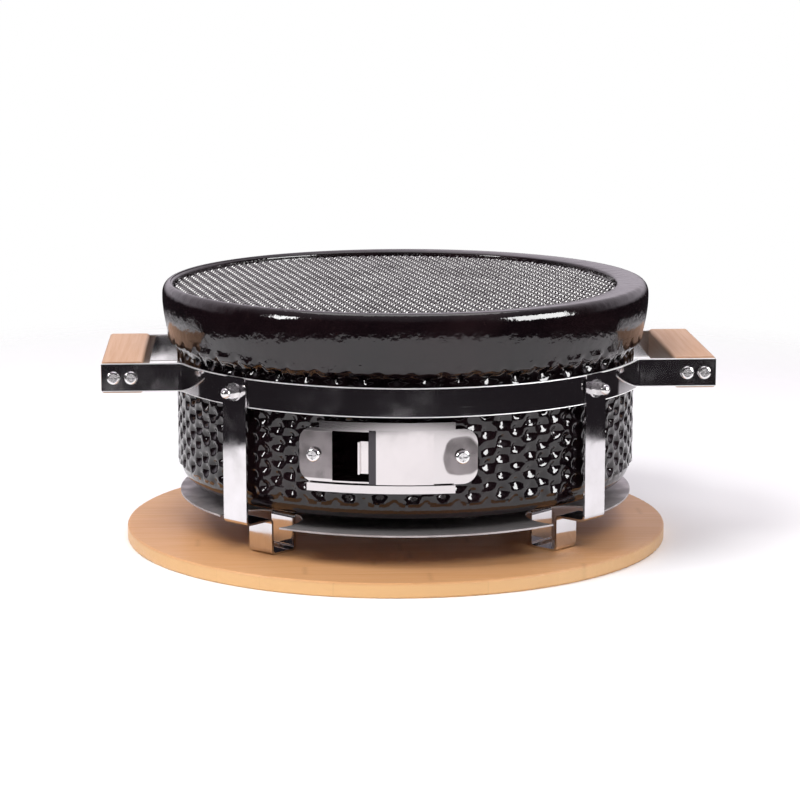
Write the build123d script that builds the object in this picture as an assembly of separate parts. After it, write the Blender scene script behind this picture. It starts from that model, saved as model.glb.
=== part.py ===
from build123d import *
import math
import os

# Ceramic charcoal grill on a bamboo board. Millimetres, +Z up.
# The origin is on the bowl's axis, at the board's underside, and the front is -Y.

# Bamboo board
BOARD_RADIUS = 196.0
BOARD_THICK = 10.5
BOARD_EDGE_ROUND = 1.5
BOARD_SHIFT = -7.0

# Legs, each one strip of polished steel
STRIP_THICK = 1.5
STRIP_WIDTH = 22.0
STRIP_BEND = 3.0
STRIP_TOP_ROUND = 4.0
LEG_NAMES = ["rear_right", "rear_left", "front_left", "front_right"]
FIRST_LEG_ANGLE = 45.0
FOOT_SET_BACK = 24.5
FOOT_LENGTH = 23.5
TAB_LENGTH = 21.0

# Round plate that ties the feet and keeps the heat off the board
PLATE_BEYOND_BOWL = 1.0
PLATE_THICK = 1.2
PLATE_UNDERSIDE = 34.0
SCALLOP_RADIUS = 30.0
SCALLOP_CLEARANCE = 0.3
RIVET_RADIUS = 2.5
RIVET_HEAD_RADIUS = 4.2
RIVET_HEAD_HEIGHT = 1.8

# Band round the bowl, in two halves with arms for the grips
BAND_OFF_BOWL = 9.0
BAND_THICK = 1.5
BAND_HEIGHT = 20.0
BAND_MIDDLE = 127.7
BAND_BEND = 3.5

# Wooden grips
GRIP_LENGTH = 126.0
GRIP_WIDTH = 29.5
GRIP_HEIGHT = 22.0
FINGER_ROOM = 13.75
ARM_SHORT_OF_GRIP = 0.25
GRIP_ROUND = 2.5

# Grip screws
GRIP_SCREW_SPACING = 12.2
GRIP_SCREW_RADIUS = 2.0
GRIP_SCREW_LENGTH = 20.0
GRIP_SCREW_HEAD_RADIUS = 4.7
GRIP_SCREW_HEAD_HEIGHT = 2.8

# Leg bolts, washers and cap nuts
BOLT_RADIUS = 2.5
BOLT_HEAD_RADIUS = 4.5
BOLT_HEAD_HEIGHT = 2.6
BOLT_GRIP_IN_NUT = 4.5
WASHER_RADIUS = 6.2
WASHER_THICK = 1.0
NUT_ACROSS_FLATS = 8.0
NUT_HEX_HEIGHT = 4.5
NUT_DOME_RADIUS = 3.8
NUT_NECK = 1.6

# Ceramic bowl, outside
BOWL_TURN = -7.4
FOOT_RING_OFF_TABS = 8.0
FOOT_RING_WIDTH = 16.0
BOWL_UNDERSIDE = 44.0
BODY_RADIUS = 163.0
BODY_CORNER = 12.0
RIM_FLARE = 12.3
RIM_TOP = 187.2
RIM_ROUND = 5.5
RIM_STRAIGHT_FROM = 166.0
SHOULDER_FROM = 141.0
SHOULDER_FLARE = 6.5
SHOULDER_AT = 148.0

# Ceramic bowl, inside
RIM_WALL = 7.3
RECESS_FLOOR = 180.0
BOWL_WALL = 17.0
LEDGE_AT = 112.0
LEDGE_WIDTH = 8.0
FLOOR_AT = 59.0
FLOOR_ROUND = 18.0

# Air vent: face plate, rails, door
LAND_HEIGHT = 4.3
VENT_SHEET = 1.2
VENT_HALF_ANGLE = 20.9
VENT_LOW = 71.0
VENT_HIGH = 108.6
VENT_CORNER = 10.0
RAIL_HEIGHT = 5.4
RAIL_LEFT_ANGLE = 15.5
RAIL_RIGHT_ANGLE = 15.4
LOW_RAIL_LEFT_ANGLE = 18.6
WINDOW_FROM = -12.8
WINDOW_SPAN = 14.3
WINDOW_EDGE = 1.8
PORT_MARGIN = 1.0
DOOR_THICK = 1.2
DOOR_CLEARANCE = 0.4
DOOR_FROM = -4.1
DOOR_SPAN = 14.7
DOOR_TAB_SPAN = 2.3
DOOR_TAB_HEIGHT = 22.0
DOOR_FOLD = 3.5
VENT_SCREW_ANGLE = 17.2
VENT_SCREW_RADIUS = 2.5
VENT_SCREW_LENGTH = 18.0
VENT_SCREW_HEAD_RADIUS = 5.0
VENT_SCREW_HEAD_HEIGHT = 3.4

# Cross recess in the screw heads
CROSS_WIDTH = 1.1
CROSS_REACH = 0.6
CROSS_DEPTH = 1.4

# Charcoal grate
GRATE_CLEARANCE = 1.5
GRATE_THICK = 8.0
GRATE_RIM = 11.0
GRATE_BAR = 7.0
GRATE_SLOT = 10.0

# Cooking mesh
WIRE_THICK = 1.8
WIRE_PITCH = 7.0
MESH_CLEARANCE = 9.5
MESH_TURN = 40.0
MESH_SHIFT = (-7.5, 2.0)

# Worked out from the sizes above
RIM_RADIUS = BODY_RADIUS + RIM_FLARE
RECESS_RADIUS = RIM_RADIUS - RIM_WALL
CHAMBER_RADIUS = BODY_RADIUS - BOWL_WALL
ASH_CHAMBER_RADIUS = CHAMBER_RADIUS - LEDGE_WIDTH
MESH_RADIUS = RECESS_RADIUS - MESH_CLEARANCE
BAND_INNER = BODY_RADIUS + BAND_OFF_BOWL
BAND_OUTER = BAND_INNER + BAND_THICK
LEG_OUTER = BAND_OUTER + STRIP_THICK
FOOT_OUTER = LEG_OUTER - FOOT_SET_BACK
FOOT_INNER = FOOT_OUTER - FOOT_LENGTH
TAB_END = FOOT_INNER - TAB_LENGTH
FOOT_RING_OUTER = TAB_END - FOOT_RING_OFF_TABS
FOOT_RING_INNER = FOOT_RING_OUTER - FOOT_RING_WIDTH
PLATE_RADIUS = BODY_RADIUS + PLATE_BEYOND_BOWL
PLATE_TOP = PLATE_UNDERSIDE + PLATE_THICK
STRIP_LEVEL = PLATE_TOP + STRIP_THICK / 2
GRIP_AT = BAND_OUTER + FINGER_ROOM + GRIP_WIDTH / 2
ARM_END = GRIP_AT + GRIP_WIDTH / 2 - ARM_SHORT_OF_GRIP
LEG_TOP = BAND_MIDDLE + BAND_HEIGHT / 2
LEG_ANGLES = [FIRST_LEG_ANGLE + 90 * step for step in range(4)]
RIVET_AT = (TAB_END + FOOT_INNER - STRIP_BEND) / 2
VENT_MIDDLE = (VENT_LOW + VENT_HIGH) / 2
VENT_BACK = BODY_RADIUS + LAND_HEIGHT
VENT_FACE_RADIUS = VENT_BACK + VENT_SHEET
DOOR_INNER = VENT_FACE_RADIUS + DOOR_CLEARANCE
DOOR_OUTER = DOOR_INNER + DOOR_THICK
RAIL_OUTER = DOOR_OUTER + DOOR_CLEARANCE + VENT_SHEET
VENT_ANGLE = 270 + BOWL_TURN


def turned(shape, angle):
    """The shape turned about the bowl's axis."""
    return Rot(0, 0, angle) * shape


def ring_sector(inner, outer, low, high, angle_from, angle_span):
    """Part of a ring round the bowl's axis, from one angle over a span."""
    profile = Plane.XZ * Pos((inner + outer) / 2, (low + high) / 2) * Rectangle(outer - inner, high - low)
    return turned(revolve(profile, Axis.Z, angle_span), angle_from)


def radial_rod(radius, start, end, height, angle):
    """A round rod that points away from the axis, between two distances from it."""
    rod = Pos((start + end) / 2, 0, height) * Rot(0, 90, 0) * Cylinder(radius, end - start)
    return turned(rod, angle)


def pan_head(radius, height):
    """A screw head on Z = 0 with a domed top and a cross recess."""
    head = Pos(0, 0, height / 2) * Cylinder(radius, height)
    head = fillet(head.edges().group_by(Axis.Z)[-1], height * 0.6)
    for turn in (0, 90):
        slot = Rot(0, 0, turn) * Box(2 * radius * CROSS_REACH, CROSS_WIDTH, CROSS_DEPTH * 2)
        head -= Pos(0, 0, height) * slot
    return head


def make_board():
    """The round bamboo board with softened edges."""
    board = Pos(BOARD_SHIFT, 0, BOARD_THICK / 2) * Cylinder(BOARD_RADIUS, BOARD_THICK)
    return fillet(board.edges(), BOARD_EDGE_ROUND)


def make_leg(angle):
    """One strip, bent from the band down to a foot loop and a tab on the plate."""
    upright = LEG_OUTER - STRIP_THICK / 2
    outer_wall = FOOT_OUTER - STRIP_THICK / 2
    inner_wall = FOOT_INNER + STRIP_THICK / 2
    sole = BOARD_THICK + STRIP_THICK / 2
    route = FilletPolyline(
        (upright, 0, LEG_TOP),
        (upright, 0, STRIP_LEVEL),
        (outer_wall, 0, STRIP_LEVEL),
        (outer_wall, 0, sole),
        (inner_wall, 0, sole),
        (inner_wall, 0, STRIP_LEVEL),
        (TAB_END, 0, STRIP_LEVEL),
        radius=STRIP_BEND,
    )
    section = Plane(origin=route @ 0, z_dir=route % 0, x_dir=(0, 1, 0)) * Rectangle(STRIP_WIDTH, STRIP_THICK)
    strip = sweep(section, route)
    top_corners = strip.edges().filter_by(Axis.X).group_by(Axis.Z)[-1]
    strip = fillet(top_corners, STRIP_TOP_ROUND)
    strip -= radial_rod(BOLT_RADIUS, BAND_INNER, LEG_OUTER + 1, BAND_MIDDLE, 0)
    strip -= Pos(RIVET_AT, 0, STRIP_LEVEL) * Cylinder(RIVET_RADIUS, 2 * STRIP_THICK)
    return turned(strip, angle)


def make_base_plate():
    """The round plate, cut away in a scallop at each foot."""
    half = STRIP_WIDTH / 2
    clear_of_bend = FOOT_INNER + STRIP_THICK / 2 - STRIP_BEND - SCALLOP_CLEARANCE
    scallop_at = clear_of_bend + math.sqrt(SCALLOP_RADIUS ** 2 - half ** 2)
    plate = Pos(0, 0, PLATE_UNDERSIDE + PLATE_THICK / 2) * Cylinder(PLATE_RADIUS, PLATE_THICK)
    for angle in LEG_ANGLES:
        scallop = Pos(scallop_at, 0, PLATE_UNDERSIDE) * Cylinder(SCALLOP_RADIUS, 4 * PLATE_THICK)
        hole = Pos(RIVET_AT, 0, PLATE_UNDERSIDE) * Cylinder(RIVET_RADIUS, 4 * PLATE_THICK)
        plate -= turned(scallop, angle)
        plate -= turned(hole, angle)
    return plate


def make_rivet():
    """One rivet through a foot tab and the plate."""
    top = PLATE_TOP + STRIP_THICK
    shank = Pos(RIVET_AT, 0, (PLATE_UNDERSIDE + top) / 2) * Cylinder(RIVET_RADIUS, top - PLATE_UNDERSIDE)
    head = Pos(RIVET_AT, 0, top + RIVET_HEAD_HEIGHT / 2) * Cylinder(RIVET_HEAD_RADIUS, RIVET_HEAD_HEIGHT)
    head = chamfer(head.edges().group_by(Axis.Z)[-1], RIVET_HEAD_HEIGHT * 0.6)
    tail = Pos(RIVET_AT, 0, PLATE_UNDERSIDE - 0.5) * Cylinder(RIVET_HEAD_RADIUS, 1.0)
    return shank + head + tail


def round_the_legs(piece):
    """A copy of a small piece at each leg, as separate solids of one node."""
    return Compound(children=[turned(piece, angle) for angle in LEG_ANGLES])


def make_bolt():
    """One leg bolt, its head between the band and the bowl."""
    seat = math.sqrt(BAND_INNER ** 2 - BOLT_HEAD_RADIUS ** 2)
    nut_seat = LEG_OUTER + WASHER_THICK
    shank = radial_rod(BOLT_RADIUS, seat, nut_seat + BOLT_GRIP_IN_NUT, BAND_MIDDLE, 0)
    head = radial_rod(BOLT_HEAD_RADIUS, seat - BOLT_HEAD_HEIGHT, seat, BAND_MIDDLE, 0)
    head = chamfer(head.edges().group_by(Axis.X)[0], BOLT_HEAD_HEIGHT * 0.4)
    return head + shank


def make_washer():
    """One plain washer on the outside of a leg."""
    washer = radial_rod(WASHER_RADIUS, LEG_OUTER, LEG_OUTER + WASHER_THICK, BAND_MIDDLE, 0)
    return washer - radial_rod(BOLT_RADIUS, LEG_OUTER - 1, LEG_OUTER + 2 * WASHER_THICK, BAND_MIDDLE, 0)


def make_cap_nut():
    """One cap nut: a hexagon with a neck and a round dome."""
    seat = LEG_OUTER + WASHER_THICK
    corner_radius = NUT_ACROSS_FLATS / math.sqrt(3)
    hexagon = Plane.YZ.offset(seat) * Pos(0, BAND_MIDDLE) * RegularPolygon(corner_radius, 6)
    nut = extrude(hexagon, NUT_HEX_HEIGHT)
    dome_at = seat + NUT_HEX_HEIGHT + NUT_NECK
    nut += radial_rod(NUT_DOME_RADIUS, seat, dome_at, BAND_MIDDLE, 0)
    nut += Pos(dome_at, 0, BAND_MIDDLE) * Sphere(NUT_DOME_RADIUS)
    return nut - radial_rod(BOLT_RADIUS, seat - 1, seat + BOLT_GRIP_IN_NUT, BAND_MIDDLE, 0)


def grip_screw_places():
    """Where the screws stand along X on one grip."""
    return [GRIP_AT - GRIP_SCREW_SPACING / 2, GRIP_AT + GRIP_SCREW_SPACING / 2]


def make_front_band():
    """Half the band, with both ends bent out into arms that hold the grips."""
    middle = BAND_OUTER - BAND_THICK / 2
    arm_y = GRIP_LENGTH / 2 + BAND_THICK / 2
    arm_angle = math.degrees(math.asin(arm_y / middle))
    wrap = CenterArc((0, 0), middle, 180 + arm_angle, 180 - 2 * arm_angle)
    left_arm = Line((-ARM_END, -arm_y), wrap @ 0)
    right_arm = Line(wrap @ 1, (ARM_END, -arm_y))
    outline = Wire([left_arm, wrap, right_arm])
    corners = outline.vertices().filter_by(lambda corner: abs(corner.X) < ARM_END - 1)
    outline = outline.fillet_2d(BAND_BEND, corners)
    outline = Pos(0, 0, BAND_MIDDLE) * outline
    section = Plane(origin=outline @ 0, z_dir=outline % 0, x_dir=(0, 0, 1)) * Rectangle(BAND_HEIGHT, BAND_THICK)
    band = sweep(section, outline)
    for angle in LEG_ANGLES[2:]:
        band -= radial_rod(BOLT_RADIUS, BAND_INNER - 2, LEG_OUTER, BAND_MIDDLE, angle)
    for side in (-1, 1):
        for place in grip_screw_places():
            hole = Pos(side * place, -arm_y, BAND_MIDDLE) * Rot(90, 0, 0)
            band -= hole * Cylinder(GRIP_SCREW_RADIUS, 4 * BAND_THICK)
    return band


def make_grip(side):
    """One wooden grip with pilot holes for the screws in its ends."""
    grip = Pos(side * GRIP_AT, 0, BAND_MIDDLE) * Box(GRIP_WIDTH, GRIP_LENGTH, GRIP_HEIGHT)
    grip = fillet(grip.edges().filter_by(Axis.Y), GRIP_ROUND)
    pilot = GRIP_SCREW_LENGTH - BAND_THICK
    for end in (-1, 1):
        for place in grip_screw_places():
            hole = Pos(side * place, end * (GRIP_LENGTH - pilot) / 2, BAND_MIDDLE) * Rot(90, 0, 0)
            grip -= hole * Cylinder(GRIP_SCREW_RADIUS, pilot)
    return grip


def make_grip_screws(side):
    """The four screws of one grip, two through each arm."""
    screws = []
    face = GRIP_LENGTH / 2 + BAND_THICK
    screw = pan_head(GRIP_SCREW_HEAD_RADIUS, GRIP_SCREW_HEAD_HEIGHT)
    screw += Pos(0, 0, -GRIP_SCREW_LENGTH / 2) * Cylinder(GRIP_SCREW_RADIUS, GRIP_SCREW_LENGTH)
    for end in (-1, 1):
        for place in grip_screw_places():
            screws.append(Pos(side * place, end * face, BAND_MIDDLE) * Rot(-90 * end, 0, 0) * screw)
    return Compound(children=screws)


def bowl_outline():
    """Half section of the bowl: foot, belly, flared rim, mesh recess, ledge and floor."""
    ring_foot = PLATE_TOP
    lip_inner_round = (RIM_RADIUS - RIM_ROUND) - RECESS_RADIUS
    lip_middle = RIM_RADIUS - RIM_ROUND
    corner = (BODY_RADIUS - BODY_CORNER * (1 - math.sqrt(0.5)), BOWL_UNDERSIDE + BODY_CORNER * (1 - math.sqrt(0.5)))
    rim_corner = (lip_middle + RIM_ROUND * math.sqrt(0.5), RIM_TOP - RIM_ROUND + RIM_ROUND * math.sqrt(0.5))
    lip_corner = (
        lip_middle - lip_inner_round * math.sqrt(0.5),
        RIM_TOP - lip_inner_round + lip_inner_round * math.sqrt(0.5),
    )
    floor_corner = (
        ASH_CHAMBER_RADIUS - FLOOR_ROUND * (1 - math.sqrt(0.5)),
        FLOOR_AT + FLOOR_ROUND * (1 - math.sqrt(0.5)),
    )
    return [
        Line((0, BOWL_UNDERSIDE), (FOOT_RING_INNER, BOWL_UNDERSIDE)),
        Line((FOOT_RING_INNER, BOWL_UNDERSIDE), (FOOT_RING_INNER, ring_foot)),
        Line((FOOT_RING_INNER, ring_foot), (FOOT_RING_OUTER, ring_foot)),
        Line((FOOT_RING_OUTER, ring_foot), (FOOT_RING_OUTER, BOWL_UNDERSIDE)),
        Line((FOOT_RING_OUTER, BOWL_UNDERSIDE), (BODY_RADIUS - BODY_CORNER, BOWL_UNDERSIDE)),
        ThreePointArc(
            (BODY_RADIUS - BODY_CORNER, BOWL_UNDERSIDE),
            corner,
            (BODY_RADIUS, BOWL_UNDERSIDE + BODY_CORNER),
        ),
        Line((BODY_RADIUS, BOWL_UNDERSIDE + BODY_CORNER), (BODY_RADIUS, SHOULDER_FROM)),
        Spline(
            (BODY_RADIUS, SHOULDER_FROM),
            (BODY_RADIUS + SHOULDER_FLARE, SHOULDER_AT),
            (RIM_RADIUS, RIM_STRAIGHT_FROM),
            tangents=[(0, 1), (0, 1)],
        ),
        Line((RIM_RADIUS, RIM_STRAIGHT_FROM), (RIM_RADIUS, RIM_TOP - RIM_ROUND)),
        ThreePointArc((RIM_RADIUS, RIM_TOP - RIM_ROUND), rim_corner, (lip_middle, RIM_TOP)),
        ThreePointArc((lip_middle, RIM_TOP), lip_corner, (RECESS_RADIUS, RIM_TOP - lip_inner_round)),
        Line((RECESS_RADIUS, RIM_TOP - lip_inner_round), (RECESS_RADIUS, RECESS_FLOOR)),
        Line((RECESS_RADIUS, RECESS_FLOOR), (CHAMBER_RADIUS, RECESS_FLOOR)),
        Line((CHAMBER_RADIUS, RECESS_FLOOR), (CHAMBER_RADIUS, LEDGE_AT)),
        Line((CHAMBER_RADIUS, LEDGE_AT), (ASH_CHAMBER_RADIUS, LEDGE_AT)),
        Line((ASH_CHAMBER_RADIUS, LEDGE_AT), (ASH_CHAMBER_RADIUS, FLOOR_AT + FLOOR_ROUND)),
        ThreePointArc(
            (ASH_CHAMBER_RADIUS, FLOOR_AT + FLOOR_ROUND),
            floor_corner,
            (ASH_CHAMBER_RADIUS - FLOOR_ROUND, FLOOR_AT),
        ),
        Line((ASH_CHAMBER_RADIUS - FLOOR_ROUND, FLOOR_AT), (0, FLOOR_AT)),
        Line((0, FLOOR_AT), (0, BOWL_UNDERSIDE)),
    ]


def make_bowl():
    """The ceramic bowl, with a raised land and an air port behind the vent."""
    section = Plane.XZ * make_face(bowl_outline())
    bowl = revolve(section, Axis.Z, 360)
    land_half = VENT_HALF_ANGLE - 1
    land = ring_sector(BODY_RADIUS - 2, VENT_BACK, VENT_LOW + 1, VENT_HIGH - 1, -land_half, 2 * land_half)
    bowl += turned(land, VENT_ANGLE)
    port_middle = VENT_ANGLE + WINDOW_FROM + WINDOW_SPAN / 2
    port_width = 2 * VENT_BACK * math.sin(math.radians(WINDOW_SPAN / 2)) + 2 * PORT_MARGIN
    port_height = VENT_HIGH - VENT_LOW - 2 * WINDOW_EDGE + 2 * PORT_MARGIN
    port_length = VENT_BACK - ASH_CHAMBER_RADIUS + BOWL_WALL
    port = Pos((ASH_CHAMBER_RADIUS + VENT_BACK) / 2, 0, VENT_MIDDLE) * Box(port_length, port_width, port_height)
    port = fillet(port.edges().filter_by(Axis.X), 4)
    bowl -= turned(port, port_middle)
    for side in (-1, 1):
        bowl -= vent_screw_hole(side)
    return bowl


def vent_screw_hole(side):
    """The hole that one vent screw fills, through the plate and into the bowl."""
    inner_end = VENT_FACE_RADIUS - VENT_SCREW_LENGTH
    angle = VENT_ANGLE + side * VENT_SCREW_ANGLE
    return radial_rod(VENT_SCREW_RADIUS, inner_end, VENT_FACE_RADIUS + 0.5, VENT_MIDDLE, angle)


def rail(is_upper, angle_left, angle_right):
    """One folded rail: a flange standing off the plate and a lip that traps the door."""
    edge = VENT_HIGH if is_upper else VENT_LOW
    outward = 1 if is_upper else -1
    tip = edge + outward * RAIL_HEIGHT
    flange_start = tip - outward * VENT_SHEET
    span = angle_left + angle_right
    back = ring_sector(VENT_BACK, VENT_FACE_RADIUS, min(edge, tip), max(edge, tip), -angle_left, span)
    low, high = min(flange_start, tip), max(flange_start, tip)
    flange = ring_sector(VENT_BACK, RAIL_OUTER, low, high, -angle_left, span)
    low, high = min(edge, tip), max(edge, tip)
    lip = ring_sector(RAIL_OUTER - VENT_SHEET, RAIL_OUTER, low, high, -angle_left, span)
    return back + flange + lip


def make_vent_frame():
    """The curved face plate with rounded corners, its window and the two rails."""
    plate = ring_sector(
        VENT_BACK, VENT_FACE_RADIUS, VENT_LOW, VENT_HIGH, -VENT_HALF_ANGLE, 2 * VENT_HALF_ANGLE
    )
    width = 2 * VENT_FACE_RADIUS * math.sin(math.radians(VENT_HALF_ANGLE))
    outline = Plane.YZ * Pos(0, VENT_MIDDLE) * RectangleRounded(width, VENT_HIGH - VENT_LOW, VENT_CORNER)
    plate &= extrude(outline, 2 * VENT_FACE_RADIUS)
    plate += rail(True, RAIL_LEFT_ANGLE, RAIL_RIGHT_ANGLE)
    plate += rail(False, LOW_RAIL_LEFT_ANGLE, RAIL_RIGHT_ANGLE)
    plate -= ring_sector(
        VENT_BACK - 1,
        VENT_FACE_RADIUS + DOOR_CLEARANCE / 2,
        VENT_LOW + WINDOW_EDGE,
        VENT_HIGH - WINDOW_EDGE,
        WINDOW_FROM,
        WINDOW_SPAN,
    )
    plate = turned(plate, VENT_ANGLE)
    for side in (-1, 1):
        plate -= vent_screw_hole(side)
    return plate


def make_vent_door():
    """The curved door, with a folded left edge and a tab to push it by."""
    reach = RAIL_HEIGHT - VENT_SHEET - DOOR_CLEARANCE
    low = VENT_LOW - reach
    high = VENT_HIGH + reach
    door = ring_sector(DOOR_INNER, DOOR_OUTER, low, high, DOOR_FROM, DOOR_SPAN)
    tab_low = VENT_MIDDLE - DOOR_TAB_HEIGHT / 2
    tab_high = VENT_MIDDLE + DOOR_TAB_HEIGHT / 2
    tab_from = DOOR_FROM - DOOR_TAB_SPAN
    sheet_span = math.degrees(DOOR_THICK / DOOR_OUTER)
    door += ring_sector(DOOR_INNER, DOOR_OUTER, tab_low, tab_high, tab_from, DOOR_TAB_SPAN + 1)
    door += ring_sector(DOOR_INNER, DOOR_OUTER + DOOR_FOLD, tab_low, tab_high, tab_from, sheet_span)
    return turned(door, VENT_ANGLE)


def make_vent_screws():
    """The two screws that hold the vent to the bowl."""
    screws = []
    seat = VENT_FACE_RADIUS
    screw = pan_head(VENT_SCREW_HEAD_RADIUS, VENT_SCREW_HEAD_HEIGHT)
    screw += Pos(0, 0, -VENT_SCREW_LENGTH / 2) * Cylinder(VENT_SCREW_RADIUS, VENT_SCREW_LENGTH)
    for side in (-1, 1):
        placed = Pos(seat, 0, VENT_MIDDLE) * Rot(0, 90, 0) * screw
        screws.append(turned(placed, VENT_ANGLE + side * VENT_SCREW_ANGLE))
    return Compound(children=screws)


def make_charcoal_grate():
    """The cast grate: a round rim with parallel bars across it."""
    radius = CHAMBER_RADIUS - GRATE_CLEARANCE
    inner = radius - GRATE_RIM
    grate = Pos(0, 0, LEDGE_AT + GRATE_THICK / 2) * Cylinder(radius, GRATE_THICK)
    step = GRATE_BAR + GRATE_SLOT
    count = int((inner - GRATE_SLOT / 2) // step)
    for place in range(-count, count + 1):
        across = place * step
        far_side = abs(across) + GRATE_SLOT / 2
        length = 2 * math.sqrt(inner ** 2 - far_side ** 2)
        if length > 2 * GRATE_SLOT:
            slot = Pos(0, across, LEDGE_AT + GRATE_THICK / 2) * Box(length, GRATE_SLOT, 2 * GRATE_THICK)
            grate -= slot
    return grate


def make_cooking_mesh():
    """The mesh: two crossing layers of wire, cut to a round outline, on the bowl's ledge."""
    wires = []
    count = int(MESH_RADIUS // WIRE_PITCH)
    section = RegularPolygon(WIRE_THICK / math.sqrt(3), 6)
    for layer, turn in enumerate((MESH_TURN, MESH_TURN + 90)):
        height = RECESS_FLOOR + WIRE_THICK * (layer + 0.5)
        for place in range(-count, count + 1):
            across = place * WIRE_PITCH
            half = math.sqrt(MESH_RADIUS ** 2 - across ** 2)
            wire = extrude(Plane.YZ * section, half, both=True)
            wires.append(Rot(0, 0, turn) * Pos(0, across, height) * wire)
    return Pos(MESH_SHIFT[0], MESH_SHIFT[1], 0) * Compound(children=wires)


def save(name, shape):
    """Write one node's solid, or its group of solids, to the parts folder."""
    solids = shape.solids()
    whole = solids[0] if len(solids) == 1 else Compound(children=list(solids))
    export_step(whole, os.path.join("parts", name + ".step"))


os.makedirs("parts", exist_ok=True)
front_band = make_front_band()
save("bamboo_board", make_board())
save("base_plate", make_base_plate())
for leg_name, leg_angle in zip(LEG_NAMES, LEG_ANGLES):
    save("leg_" + leg_name, make_leg(leg_angle))
save("tab_rivets", round_the_legs(make_rivet()))
save("leg_bolts", round_the_legs(make_bolt()))
save("leg_washers", round_the_legs(make_washer()))
save("leg_cap_nuts", round_the_legs(make_cap_nut()))
save("band_front", front_band)
save("band_rear", turned(front_band, 180))
save("grip_left", make_grip(-1))
save("grip_right", make_grip(1))
save("grip_screws_left", make_grip_screws(-1))
save("grip_screws_right", make_grip_screws(1))
save("ceramic_bowl", make_bowl())
save("vent_frame", make_vent_frame())
save("vent_door", make_vent_door())
save("vent_screws", make_vent_screws())
save("charcoal_grate", make_charcoal_grate())
save("cooking_mesh", make_cooking_mesh())
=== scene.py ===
import math

import bmesh
import bpy
import numpy as np
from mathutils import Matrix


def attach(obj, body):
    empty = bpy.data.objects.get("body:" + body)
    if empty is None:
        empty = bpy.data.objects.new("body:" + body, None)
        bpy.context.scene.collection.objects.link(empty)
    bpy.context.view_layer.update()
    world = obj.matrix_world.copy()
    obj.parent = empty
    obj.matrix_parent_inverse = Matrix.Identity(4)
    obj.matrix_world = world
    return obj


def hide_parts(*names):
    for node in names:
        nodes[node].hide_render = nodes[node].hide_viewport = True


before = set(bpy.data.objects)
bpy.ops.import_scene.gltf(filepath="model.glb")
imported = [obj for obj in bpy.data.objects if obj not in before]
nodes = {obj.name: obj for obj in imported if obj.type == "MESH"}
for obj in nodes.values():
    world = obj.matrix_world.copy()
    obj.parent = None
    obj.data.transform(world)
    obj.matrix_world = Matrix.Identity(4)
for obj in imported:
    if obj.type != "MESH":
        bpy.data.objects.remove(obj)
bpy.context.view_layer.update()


# Bamboo board
# A round serving board pressed from long bamboo strips glued side by side, sanded and oiled.
# The grill stands on it. Its solid is already right, so it only gets its bamboo.

def reach_of(node):
    """The lowest and the highest corner of a solid, in metres."""
    corners = np.array(nodes[node].bound_box)
    return corners.min(axis=0), corners.max(axis=0)


BOARD_TOP = reach_of("bamboo_board")[1][2]
BAMBOO_WIDTH = 0.021
BAMBOO_LENGTH = 0.19
SEAM_SHARE = 0.008
JOINT_SHARE = 0.015
HIGHLIGHT_BELOW_TOP = (0.0006, 0.0022)

BAMBOO_BROWN = (0.62, 0.305, 0.122)
BAMBOO_PALE = (0.74, 0.40, 0.185)
FIBRE_BROWN = (0.52, 0.25, 0.092)
PATCH_GOLD = (0.80, 0.50, 0.26)
JOINT_BROWN = (0.40, 0.18, 0.07)
SEAM_BROWN = (0.34, 0.15, 0.06)
EDGE_HIGHLIGHT_GOLD = (0.90, 0.60, 0.27)


def start_material(name, roughness, metallic=0.0):
    """A material with one Principled shader, and the Object coordinates that its pattern reads."""
    material = bpy.data.materials.new(name)
    material.use_nodes = True
    tree = material.node_tree
    shader = tree.nodes["Principled BSDF"]
    shader.inputs["Roughness"].default_value = roughness
    shader.inputs["Metallic"].default_value = metallic
    place = tree.nodes.new("ShaderNodeTexCoord").outputs["Object"]
    return material, tree, shader, place


def stretched(tree, place, scale, turn=(0, 0, 0)):
    """The coordinates turned and then multiplied along each axis."""
    mapping = tree.nodes.new("ShaderNodeMapping")
    mapping.inputs["Scale"].default_value = scale
    mapping.inputs["Rotation"].default_value = turn
    tree.links.new(place, mapping.inputs["Vector"])
    return mapping.outputs["Vector"]


def axes(tree, place):
    """The X, the Y and the Z of the coordinates, as three values."""
    split = tree.nodes.new("ShaderNodeSeparateXYZ")
    tree.links.new(place, split.inputs["Vector"])
    return split.outputs["X"], split.outputs["Y"], split.outputs["Z"]


def cloud(tree, place, scale, detail=3.0, roughness=0.5):
    """Soft noise over the surface, from 0 to 1."""
    noise = tree.nodes.new("ShaderNodeTexNoise")
    noise.inputs["Scale"].default_value = scale
    noise.inputs["Detail"].default_value = detail
    noise.inputs["Roughness"].default_value = roughness
    tree.links.new(place, noise.inputs["Vector"])
    return noise.outputs["Fac"]


def between(tree, value, low, high, to_low=0.0, to_high=1.0):
    """The value stretched from one range to another and held at its ends."""
    span = tree.nodes.new("ShaderNodeMapRange")
    span.inputs["From Min"].default_value = low
    span.inputs["From Max"].default_value = high
    span.inputs["To Min"].default_value = to_low
    span.inputs["To Max"].default_value = to_high
    tree.links.new(value, span.inputs["Value"])
    return span.outputs["Result"]


def ranging(tree, mask, low, high):
    """The low value where the mask is 0, the high one where it is 1, and in proportion between."""
    return between(tree, mask, 0.0, 1.0, low, high)


def sums(tree, operation, first, second=None):
    """One Math node: each input is another node's value or a plain number."""
    node = tree.nodes.new("ShaderNodeMath")
    node.operation = operation
    for socket, value in zip(node.inputs, (first, second)):
        if isinstance(value, (int, float)):
            socket.default_value = value
        elif value is not None:
            tree.links.new(value, socket)
    return node.outputs["Value"]


def how_far(tree, value, middle):
    """How far the value lies from the middle, on either side of it."""
    return sums(tree, "ABSOLUTE", sums(tree, "SUBTRACT", value, middle))


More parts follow.
